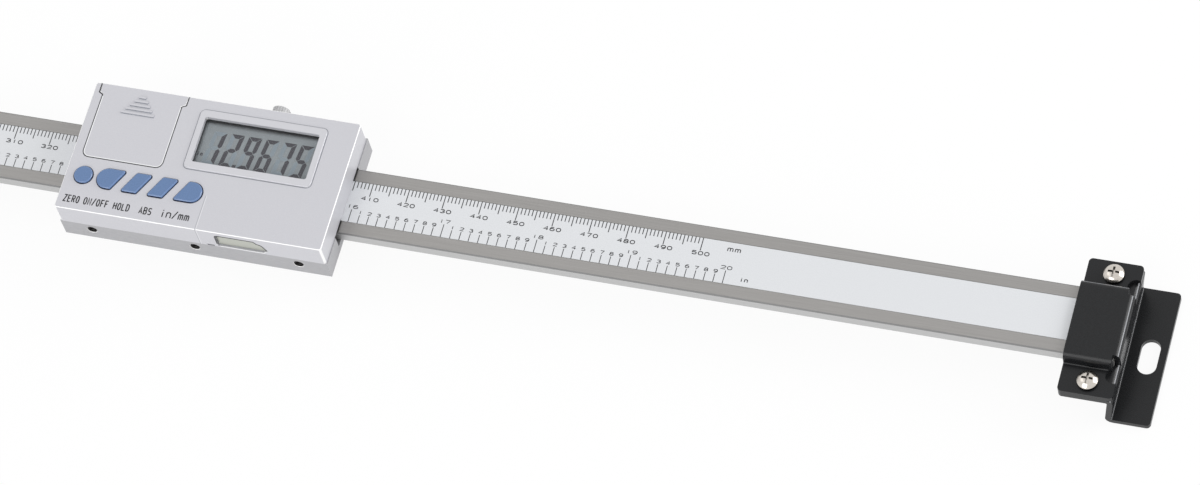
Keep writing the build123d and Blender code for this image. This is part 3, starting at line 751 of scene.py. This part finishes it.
# A line at each tenth of an inch, longer at each whole inch
def addInchLines(scale):
    count = np.arange(scale["inches"] * 10 + 1)
    high = np.where(count % 10 == 0, scale["wholeEnd"], scale["tenthEnd"])
    low = np.full(count.shape, -scale["half"])
    middle = zeroX + count * scale["inch"] / 10
    shape = bars(middle, low, high, scale["inchLineWidth"], inkBottom, inkTop)
    addPiece("inch_lines", shape, "scale_ink", "beam_assembly")


# The digits of a number, centred on a middle place between a low and a high line
def numberRibbons(number, middle, rows, width, pitch, stroke):
    text = str(number)
    shapes = []
    for index, digit in enumerate(text):
        centre = middle + (index - (len(text) - 1) / 2) * pitch
        low = (centre - width / 2, rows[0])
        high = (centre + width / 2, rows[1])
        shapes += signRibbons(digit, low, high, stroke, inkBottom, inkTop)
    return shapes


# A number at each tenth millimetre and at each inch, and a digit at each tenth
# of an inch between
def addNumerals(numerals):
    wide, pitch = numerals["width"], numerals["pitch"]
    stroke, thin = numerals["stroke"], numerals["inchStroke"]
    shapes = []
    for reading in range(0, scale["range"] + 1, 10):
        middle = zeroX + reading + numerals["shift"]
        shapes += numberRibbons(reading, middle, numerals["millimetre"], wide, pitch, stroke)
    addPiece("millimetre_numerals", joined(shapes), "scale_ink", "beam_assembly")
    shapes = []
    for tenth in range(scale["inches"] * 10 + 1):
        middle = zeroX + tenth * scale["inch"] / 10
        inch, rest = divmod(tenth, 10)
        number = rest or inch
        rows = numerals["tenth" if rest else "whole"]
        width = numerals["tenthWidth"] if rest else wide
        shapes += numberRibbons(number, middle, rows, width, pitch, thin)
    addPiece("inch_numerals", joined(shapes), "scale_ink", "beam_assembly")


# Signs of the two units, each with its box's low and high corner. X counts from
# the zero of the scale.
unitMarks = {
    "share": 0.8,
    "words": {"mm": ((506.9, 3.25), (510.5, 4.75)), "in": ((512.2, -4.8), (514.4, -3.5))},
}


# Each sign's letters fill its box
def addUnitMarks(unitMarks):
    shapes = []
    stroke = numerals["stroke"]
    for word, (low, high) in unitMarks["words"].items():
        low = (zeroX + low[0], low[1])
        high = (zeroX + high[0], high[1])
        shapes += wordRibbons(word, low, high, unitMarks["share"], stroke, inkBottom, inkTop)
    addPiece("unit_marks", joined(shapes), "scale_ink", "beam_assembly")


addMillimetreLines(scale)
addInchLines(scale)
addNumerals(numerals)
addUnitMarks(unitMarks)
print("graduations and numerals laid on the strip")

# Names of the buttons, printed on the cover. X counts from the slider's left
# end, and each name has its left and right end and its top.
labels = {
    "baseline": -17.55,
    "depth": 0.03,
    "sunk": 0.015,
    "share": 0.84,
    "stroke": 0.31,
    "words": {
        "ZERO": (1.8, 6.3, -15.35),
        "ON/OFF": (7.45, 14.4, -15.3),
        "HOLD": (15.75, 20.35, -15.35),
        "ABS": (23.0, 26.5, -15.35),
        "in/mm": (28.9, 37.0, -15.2),
    },
}


# Each name's letters fill the box between its ends, from the baseline to its top
def addLabels(labels):
    bottom = coverTop - labels["sunk"]
    top = bottom + labels["depth"]
    share, stroke = labels["share"], labels["stroke"]
    shapes = []
    for word, (start, end, height) in labels["words"].items():
        low = (sliderLeft + start, labels["baseline"])
        high = (sliderLeft + end, height)
        shapes += wordRibbons(word, low, high, share, stroke, bottom, top)
    addPiece("button_labels", joined(shapes), "label_ink", "slider")


addLabels(labels)
print("labels printed on the cover")

# Digits of the display. X counts from the slider's left end. The lines lean:
# a point's X grows with its height over the digits' foot.
display = {
    "reading": "12.9675",
    "first": 34.4,
    "pitch": 4.85,
    "width": 3.6,
    "foot": 0.8,
    "height": 9.9,
    "stroke": 1.15,
    "gap": 0.2,
    "lean": 0.115,
    "point": 0.95,
    "depth": 0.03,
    "idleDepth": 0.01,
    "unit": ((32.6, 2.8), (34.3, 4.1)),
    "unitShare": 0.8,
    "unitStroke": 0.3,
}
litSegments = {
    "0": "abcdef",
    "1": "bc",
    "2": "abged",
    "3": "abgcd",
    "4": "fgbc",
    "5": "afgcd",
    "6": "afgcde",
    "7": "abc",
    "8": "abcdefg",
    "9": "abcdfg",
}


# Outlines of the seven segments of a digit, from its size, stroke and gap
def segmentOutlines(width, height, stroke, gap):
    half = gap / 2
    inner = stroke + half
    middle = height / 2
    top = [
        (half, height),
        (width - half, height),
        (width - inner, height - stroke),
        (inner, height - stroke),
    ]
    centre = [
        (stroke / 2 + half, middle),
        (inner, middle + stroke / 2),
        (width - inner, middle + stroke / 2),
        (width - stroke / 2 - half, middle),
        (width - inner, middle - stroke / 2),
        (inner, middle - stroke / 2),
    ]
    upperLeft = [
        (0, height - half),
        (stroke, height - inner),
        (stroke, middle + stroke / 2 + half),
        (stroke / 2, middle + half),
        (0, middle + stroke / 2 + half),
    ]
    outlines = {"a": np.array(top), "g": np.array(centre), "f": np.array(upperLeft)}
    mirror = np.array([-1, 1])
    outlines["b"] = outlines["f"] * mirror + [width, 0]
    for upper, lower in (("a", "d"), ("f", "e"), ("b", "c")):
        outlines[lower] = outlines[upper] * [1, -1] + [0, height]
    return outlines


# Counted anticlockwise, so that a plate's top faces up
def anticlockwise(outline):
    x, y = outline.T
    area = np.sum(x * np.roll(y, -1) - np.roll(x, -1) * y)
    return outline if area > 0 else outline[::-1]


# Outlines of the reading's lit and idle segments, upright and from the first
# digit's foot. A point stands in the gap before the next digit.
def readingOutlines(display):
    width, pitch, point = display["width"], display["pitch"], display["point"]
    outlines = segmentOutlines(width, display["height"], display["stroke"], display["gap"])
    dot = np.array([(-point / 2, 0), (point / 2, 0), (point / 2, point), (-point / 2, point)])
    lit = []
    idle = []
    place = 0.0
    for sign in display["reading"]:
        if sign == ".":
            lit.append(dot + [place - (pitch - width) / 2, 0])
            continue
        for name, outline in outlines.items():
            group = lit if name in litSegments[sign] else idle
            group.append(outline + [place, 0])
        place += pitch
    return lit, idle


# Plates over outlines whose points move along X by the lean times their height
def leaningPlates(outlines, display, bottom, top):
    foot = [sliderLeft + display["first"], display["foot"]]
    shapes = []
    for outline in outlines:
        leaning = outline + np.outer(outline[:, 1], [display["lean"], 0])
        shapes.append(plate(anticlockwise(leaning + foot), bottom, top))
    return shapes


# Lit segments and the unit's sign as one piece, and idle segments as another
def addDisplayDigits(display):
    bottom = glassHigh.z / mm
    top = bottom + display["depth"]
    lit, idle = readingOutlines(display)
    low, high = display["unit"]
    low = (sliderLeft + low[0], low[1])
    high = (sliderLeft + high[0], high[1])
    unit = wordRibbons("in", low, high, display["unitShare"], display["unitStroke"], bottom, top)
    shapes = leaningPlates(lit, display, bottom, top) + unit
    addPiece("lit_segments", joined(shapes), "segment_ink", "slider")
    shapes = leaningPlates(idle, display, bottom, bottom + display["idleDepth"])
    addPiece("idle_segments", joined(shapes), "idle_segment", "slider")


addDisplayDigits(display)
print("digits set on the display")

# Threads in the three tapped holes of the slider's front. X counts from the
# slider's left end, and Z down from the top of its block.
threads = {
    "first": 8.4,
    "pitch": 28.85,
    "count": 3,
    "below": 2.5,
    "radius": 1.24,
    "wall": 0.03,
    "ridge": 0.2,
    "lead": 0.5,
    "start": 0.04,
    "length": 5.6,
    "around": 40,
    "along": 66,
}


# Inner wall: a radius that rises and falls as a triangle wave of the depth over
# the lead, shifted by the angle. Outer wall: the hole's own radius. Together
# they close into one ring.
def addThreads(threads):
    angle = np.linspace(0, 2 * np.pi, threads["around"], endpoint=False)
    depth = np.linspace(0, threads["length"], threads["along"])
    phase = (depth[None] / threads["lead"] - angle[:, None] / (2 * np.pi)) % 1
    wave = 1 - np.abs(2 * phase - 1)
    inner = threads["radius"] - threads["wall"] - threads["ridge"] * wave
    outer = np.full((len(angle), 2), threads["radius"])
    radius = np.concatenate([inner, outer], axis=1)
    depth = np.concatenate([depth, [threads["length"], 0]])
    across = radius * np.cos(angle)[:, None]
    up = radius * np.sin(angle)[:, None]
    rows, columns = radius.shape
    row = np.arange(rows)[:, None] * columns
    nextRow = (row + columns) % (rows * columns)
    column = np.arange(columns)
    nextColumn = (column + 1) % columns
    quads = np.stack([row + column, row + nextColumn, nextRow + nextColumn, nextRow + column], axis=2)
    faces = quads.reshape(-1, 4).tolist()
    shapes = []
    for index in range(threads["count"]):
        x = sliderLeft + threads["first"] + index * threads["pitch"]
        y = sliderLow.y / mm + threads["start"] + depth
        z = sliderHigh.z / mm - threads["below"]
        points = np.stack([x + across, np.broadcast_to(y, across.shape), z + up], axis=2)
        shapes.append((points.reshape(-1, 3), faces))
    addPiece("hole_threads", joined(shapes), "thread_shade", "slider")


addThreads(threads)
print("threads cut in the tapped holes")

# Thin lines of painted shade in gaps and of painted highlight on edges lie just proud of their surface.
# X counts from the slider's left end, and a corner is its place and its radius.
lines = {"proud": 0.012, "sunk": 0.03}


# Points of a path that lie nearer to each other than this become one
mergeWithin = 0.001


# Points along an outline with rounded corners: each corner is an arc about a
# middle that lies one radius inside both its sides. On an anticlockwise outline
# the arcs can be grown outward, and a corner without a radius stays as it is.
def roundedPath(corners, closed, grow=0.0, steps=9):
    place = np.array([corner[:2] for corner in corners], float)
    before = place - np.roll(place, 1, axis=0)
    after = np.roll(place, -1, axis=0) - place
    before /= np.linalg.norm(before, axis=1)[:, None]
    after /= np.linalg.norm(after, axis=1)[:, None]
    path = []
    for index, (x, y, radius) in enumerate(corners):
        into, out = before[index], after[index]
        turn = np.arctan2(into[0] * out[1] - into[1] * out[0], into @ out)
        if radius == 0 or (not closed and index in (0, len(corners) - 1)):
            path.append(place[index][None])
            continue
        side = np.sign(turn)
        inner = np.array([-into[1], into[0]]) * side
        middle = place[index] - into * radius * np.tan(abs(turn) / 2) + inner * radius
        swing = np.linspace(0, turn, steps)
        arm = -inner * (radius + side * grow)
        across = np.array([-arm[1], arm[0]])
        path.append(middle + np.outer(np.cos(swing), arm) + np.outer(np.sin(swing), across))
    path = np.vstack(path)
    apart = np.linalg.norm(path - np.roll(path, 1, axis=0), axis=1) > mergeWithin
    path = path[apart]
    return np.vstack([path, path[:1]]) if closed else path


# A line on the cover's top, along a path in plan
def coverLine(path, width):
    low = coverTop - lines["sunk"]
    return ribbon(path + [sliderLeft, 0], width, low, coverTop + lines["proud"])


# Painted shade in the gap round the battery lid, and a painted highlight on the
# lid's edge inside it
lidLines = {
    "gapWidth": 0.27,
    "gap": [
        (1.55, 18.7, 0),
        (1.55, 15.95, 0.1),
        (2.68, 15.4, 0.1),
        (2.68, -3.52, 1.92),
        (25.12, -3.52, 1.92),
        (25.12, 15.4, 0.1),
        (26.25, 15.95, 0.1),
        (26.25, 18.7, 0),
    ],
    "edgeHighlightWidth": 0.22,
    "edge": [(2.93, 15.0, 0), (2.93, -3.24, 1.66), (24.87, -3.24, 1.66), (24.87, 15.0, 0)],
}


# Both lines run from the back round the front and back again
def addLidLines(lidLines):
    gap = coverLine(roundedPath(lidLines["gap"], False), lidLines["gapWidth"])
    addPiece("lid_gap_line", gap, "seam_shade", "slider")
    edge = coverLine(roundedPath(lidLines["edge"], False), lidLines["edgeHighlightWidth"])
    addPiece("lid_edge_line", edge, "lid_edge_highlight", "battery_lid")


# Painted shade in the gap round each button: the round one is a place along X
# and a radius, and each tile of the row has its left and right end
buttonLines = {
    "width": 0.22,
    "offset": 0.16,
    "row": -9.05,
    "half": 2.95,
    "lean": 1.55,
    "corner": 0.45,
    "circle": (5.1, 2.5),
    "circlePoints": 49,
    "tiles": [(9.0, 14.85), (17.85, 22.15), (25.15, 29.45), (32.45, 38.3)],
}


# Corners of a tile: its sides lean, but the row's two outer ends are half round
def tileCorners(buttonLines, index):
    start, end = buttonLines["tiles"][index]
    row, half, lean = buttonLines["row"], buttonLines["half"], buttonLines["lean"]
    leaning = (-lean, lean, buttonLines["corner"])
    halfRound = (0, 0, half)
    left = halfRound if index == 0 else leaning
    right = halfRound if index == len(buttonLines["tiles"]) - 1 else leaning
    return [
        (start + left[0], row - half, left[2]),
        (end + right[0], row - half, right[2]),
        (end + right[1], row + half, right[2]),
        (start + left[1], row + half, left[2]),
    ]


# A circle round the round button and an outline round each tile of the row, all
# of them an offset outside the button's own edge
def addButtonLines(buttonLines):
    x, radius = buttonLines["circle"]
    offset, width = buttonLines["offset"], buttonLines["width"]
    turn = np.linspace(0, 2 * np.pi, buttonLines["circlePoints"])
    reach = radius + offset
    circle = [x + reach * np.cos(turn), buttonLines["row"] + reach * np.sin(turn)]
    paths = [np.column_stack(circle)]
    for index in range(len(buttonLines["tiles"])):
        paths.append(roundedPath(tileCorners(buttonLines, index), True, offset))
    shapes = [coverLine(path, width) for path in paths]
    addPiece("button_gap_lines", joined(shapes), "gap_shade", "slider")


# The shade at the foot of the display's rim
rimLine = {"low": (30.75, -2.25), "high": (66.15, 15.65), "corner": 1.4, "offset": 0.1, "width": 0.25}


# A rectangle with rounded corners, an offset outside the rim
def addRimLine(rimLine):
    x0, y0 = rimLine["low"]
    x1, y1 = rimLine["high"]
    corners = [(x, y, rimLine["corner"]) for x, y in [(x0, y0), (x1, y0), (x1, y1), (x0, y1)]]
    path = roundedPath(corners, True, rimLine["offset"])
    addPiece("rim_foot_line", coverLine(path, rimLine["width"]), "rim_shade", "slider")


# Painted shade in the gap over the port's cover, and a painted highlight on the
# cover's lip below it. Here a corner's second number is its height over the beam.
portLines = {
    "coverHeight": 8.0,
    "gapWidth": 0.4,
    "gap": [
        (44.4, 2.0, 0),
        (44.4, 6.3, 0.9),
        (55.2, 6.3, 0.1),
        (55.9, 5.35, 0.1),
        (57.1, 5.0, 1.8),
        (58.3, 2.4, 0),
    ],
    "lipHighlightWidth": 0.42,
    "lip": [(45.0, 0.98, 0), (57.2, 0.98, 0.9), (57.9, 1.9, 0)],
}
beamTop = coverTop - portLines["coverHeight"]


# A line drawn in plan and turned to stand upright on the cover's front
def frontLine(corners, width):
    path = roundedPath(corners, False) + [sliderLeft, beamTop]
    points, faces = ribbon(path, width, -lines["sunk"], lines["proud"])
    x, height, out = points.T
    return np.column_stack([x, coverLow.y / mm - out, height]), faces


# The painted shade goes over the cover and down both its ends, and the painted
# highlight along its foot
def addPortLines(portLines):
    gap = frontLine(portLines["gap"], portLines["gapWidth"])
    addPiece("port_gap_line", gap, "seam_shade", "slider")
    lip = frontLine(portLines["lip"], portLines["lipHighlightWidth"])
    addPiece("port_lip_highlight", lip, "lip_highlight", "slider")


addLidLines(lidLines)
addButtonLines(buttonLines)
addRimLine(rimLine)
addPortLines(portLines)
print("gaps shaded round the lid, the buttons and the port")

# Near black plates painted as the shadow in the gaps where the beam's two bare
# bands enter the slider, at both its ends: how far they reach in and out, and
# their near and far edge from the middle
endGapShades = {"inside": 0.5, "outside": 0.3, "near": 6.15, "far": 9.3, "clear": 0.04, "height": 0.42}


# Four plates: one over each of the two bands at each end
def addLips(endGapShades):
    low = beamTop + endGapShades["clear"]
    high = low + endGapShades["height"]
    start, end = coverLow.x / mm, coverHigh.x / mm
    inside, outside = endGapShades["inside"], endGapShades["outside"]
    near, far = endGapShades["near"], endGapShades["far"]
    shapes = []
    for x0, x1 in [(start - outside, start + inside), (end - inside, end + outside)]:
        for y0, y1 in [(near, far), (-far, -near)]:
            shapes.append(plate([(x0, y0), (x1, y0), (x1, y1), (x0, y1)], low, high))
    addPiece("end_gap_shades", joined(shapes), "end_gap_shade", "slider")


addLips(endGapShades)

# Shades at the foot of the lid's grip ridges, from the front row to the back
ridgeShades = {
    "middle": 13.9,
    "first": 11.2,
    "pitch": 1.25,
    "longest": 9.4,
    "shortest": 2.2,
    "count": 5,
    "before": 0.4,
    "width": 0.16,
    "proud": 0.015,
    "sunk": 0.03,
}


# Straight rows whose lengths fall evenly from the longest to the shortest
def addRidgeShades(ridgeShades):
    low = coverTop - ridgeShades["sunk"]
    high = coverTop + ridgeShades["proud"]
    count = ridgeShades["count"]
    half = np.linspace(ridgeShades["longest"], ridgeShades["shortest"], count) / 2
    row = ridgeShades["first"] + np.arange(count) * ridgeShades["pitch"] - ridgeShades["before"]
    middle = sliderLeft + ridgeShades["middle"]
    shapes = []
    for y, reach in zip(row, half):
        path = line((middle - reach, y), (middle + reach, y))
        shapes.append(ribbon(path, ridgeShades["width"], low, high))
    addPiece("ridge_shades", joined(shapes), "groove_shade", "battery_lid")


addRidgeShades(ridgeShades)
print("lips and ridge shades added")

# Camera at the photograph's place and angle, in the part's own frame. What is
# nearer or further than its two clips, in metres, isn't seen.
view = {
    "place": (876.1, -617.1, 1240.1),
    "right": (0.9546, 0.2567, -0.1511),
    "ahead": (-0.2537, 0.4352, -0.8638),
    "lens": 164.84,
    "sensor": 36.0,
    "clips": (0.05, 20.0),
}


# The camera's own axes: right is made square to ahead, and up to both
def addCamera(view):
    ahead = Vector(view["ahead"]).normalized()
    right = Vector(view["right"])
    right = (right - ahead * right.dot(ahead)).normalized()
    up = right.cross(ahead)
    data = bpy.data.cameras.new("photo_view")
    data.sensor_fit = "HORIZONTAL"
    data.sensor_width = view["sensor"]
    data.lens = view["lens"]
    data.clip_start, data.clip_end = view["clips"]
    camera = bpy.data.objects.new("photo_view", data)
    bpy.context.scene.collection.objects.link(camera)
    turn = Matrix((right, up, -ahead)).transposed()
    camera.matrix_world = Matrix.Translation(Vector(view["place"]) * mm) @ turn.to_4x4()
    bpy.context.scene.camera = camera


addCamera(view)

# Soft boxes in front of the part and at its two ends: place and width in
# metres, and power in watts. All of them aim at one place on the part.
lights = {
    "front_box": {"place": (0.1, -1.3, 1.1), "width": 1.2, "power": 10.6},
    "left_box": {"place": (-0.6, 0.2, 1.5), "width": 1.0, "power": 2.0},
    "right_box": {"place": (1.6, 0.5, 0.5), "width": 0.8, "power": 7.8},
}
aim = (0.45, 0.0, 0.0)


def addLights(lights):
    for name, box in lights.items():
        toward = Vector(aim) - Vector(box["place"])
        data = bpy.data.lights.new(name, "AREA")
        data.size = box["width"]
        data.energy = box["power"]
        lamp = bpy.data.objects.new(name, data)
        bpy.context.scene.collection.objects.link(lamp)
        lamp.location = box["place"]
        lamp.rotation_euler = toward.to_track_quat("-Z", "Y").to_euler()


addLights(lights)


# 1 where a ray comes from the camera, a mirror or a clear piece
def seenDirectly(finish):
    rays = finish.node("ShaderNodeLightPath", {}, {}).socket.node.outputs
    names = ("Is Camera Ray", "Is Glossy Ray", "Is Transmission Ray")
    camera, glossy, clear = [Signal(finish, rays[name]) for name in names]
    return camera.atLeast(glossy).atLeast(clear)


# The world lights the part at one level and is white where it is seen
room = {"level": 0.62, "seen": 1.0}
white = colour(255, 255, 255)


def addRoom(room):
    world = bpy.data.worlds.new("studio")
    bpy.context.scene.world = world
    world.use_nodes = True
    finish = Finish(world.node_tree)
    strength = room["level"] + (room["seen"] - room["level"]) * seenDirectly(finish)
    background = finish.node("ShaderNodeBackground", {}, {"Color": white, "Strength": strength})
    finish.node("ShaderNodeOutputWorld", {}, {"Surface": background})


addRoom(room)

# Pale floor under the feet: part of its white is its own, so shadows stay soft.
# Its half width is in metres.
floor = {
    "half": 4.0,
    "below": 0.05,
    "paint": (253, 253, 253),
    "mottle": 60.0,
    "mottleSpan": (0.2, 0.8),
    "mottleShare": 0.5,
    "own": 0.92,
}


def addFloor(floor):
    half = floor["half"]
    material, finish = newMaterial("pale_floor")
    mottle = finish.ramp(finish.grain(floor["mottle"]), *floor["mottleSpan"])
    paint = finish.mixColour(mottle * floor["mottleShare"], colour(*floor["paint"]), white)
    matt = finish.node("ShaderNodeBsdfDiffuse", {}, {"Color": paint})
    glow = finish.node("ShaderNodeEmission", {}, {"Color": white, "Strength": 1.0})
    share = seenDirectly(finish) * floor["own"]
    mixed = finish.node("ShaderNodeMixShader", {}, {0: share, 1: matt, 2: glow})
    finish.node("ShaderNodeOutputMaterial", {}, {"Surface": mixed})
    mesh = bpy.data.meshes.new("pale_floor")
    height = -floor["below"] * mm
    plan = [(-half, -half), (half, -half), (half, half), (-half, half)]
    mesh.from_pydata([(x, y, height) for x, y in plan], [], [[0, 1, 2, 3]])
    mesh.materials.append(material)
    ground = bpy.data.objects.new("pale_floor", mesh)
    bpy.context.scene.collection.objects.link(ground)


addFloor(floor)
bpy.context.scene.view_settings.view_transform = "Standard"
print("camera, lights and floor set")

noteSize()
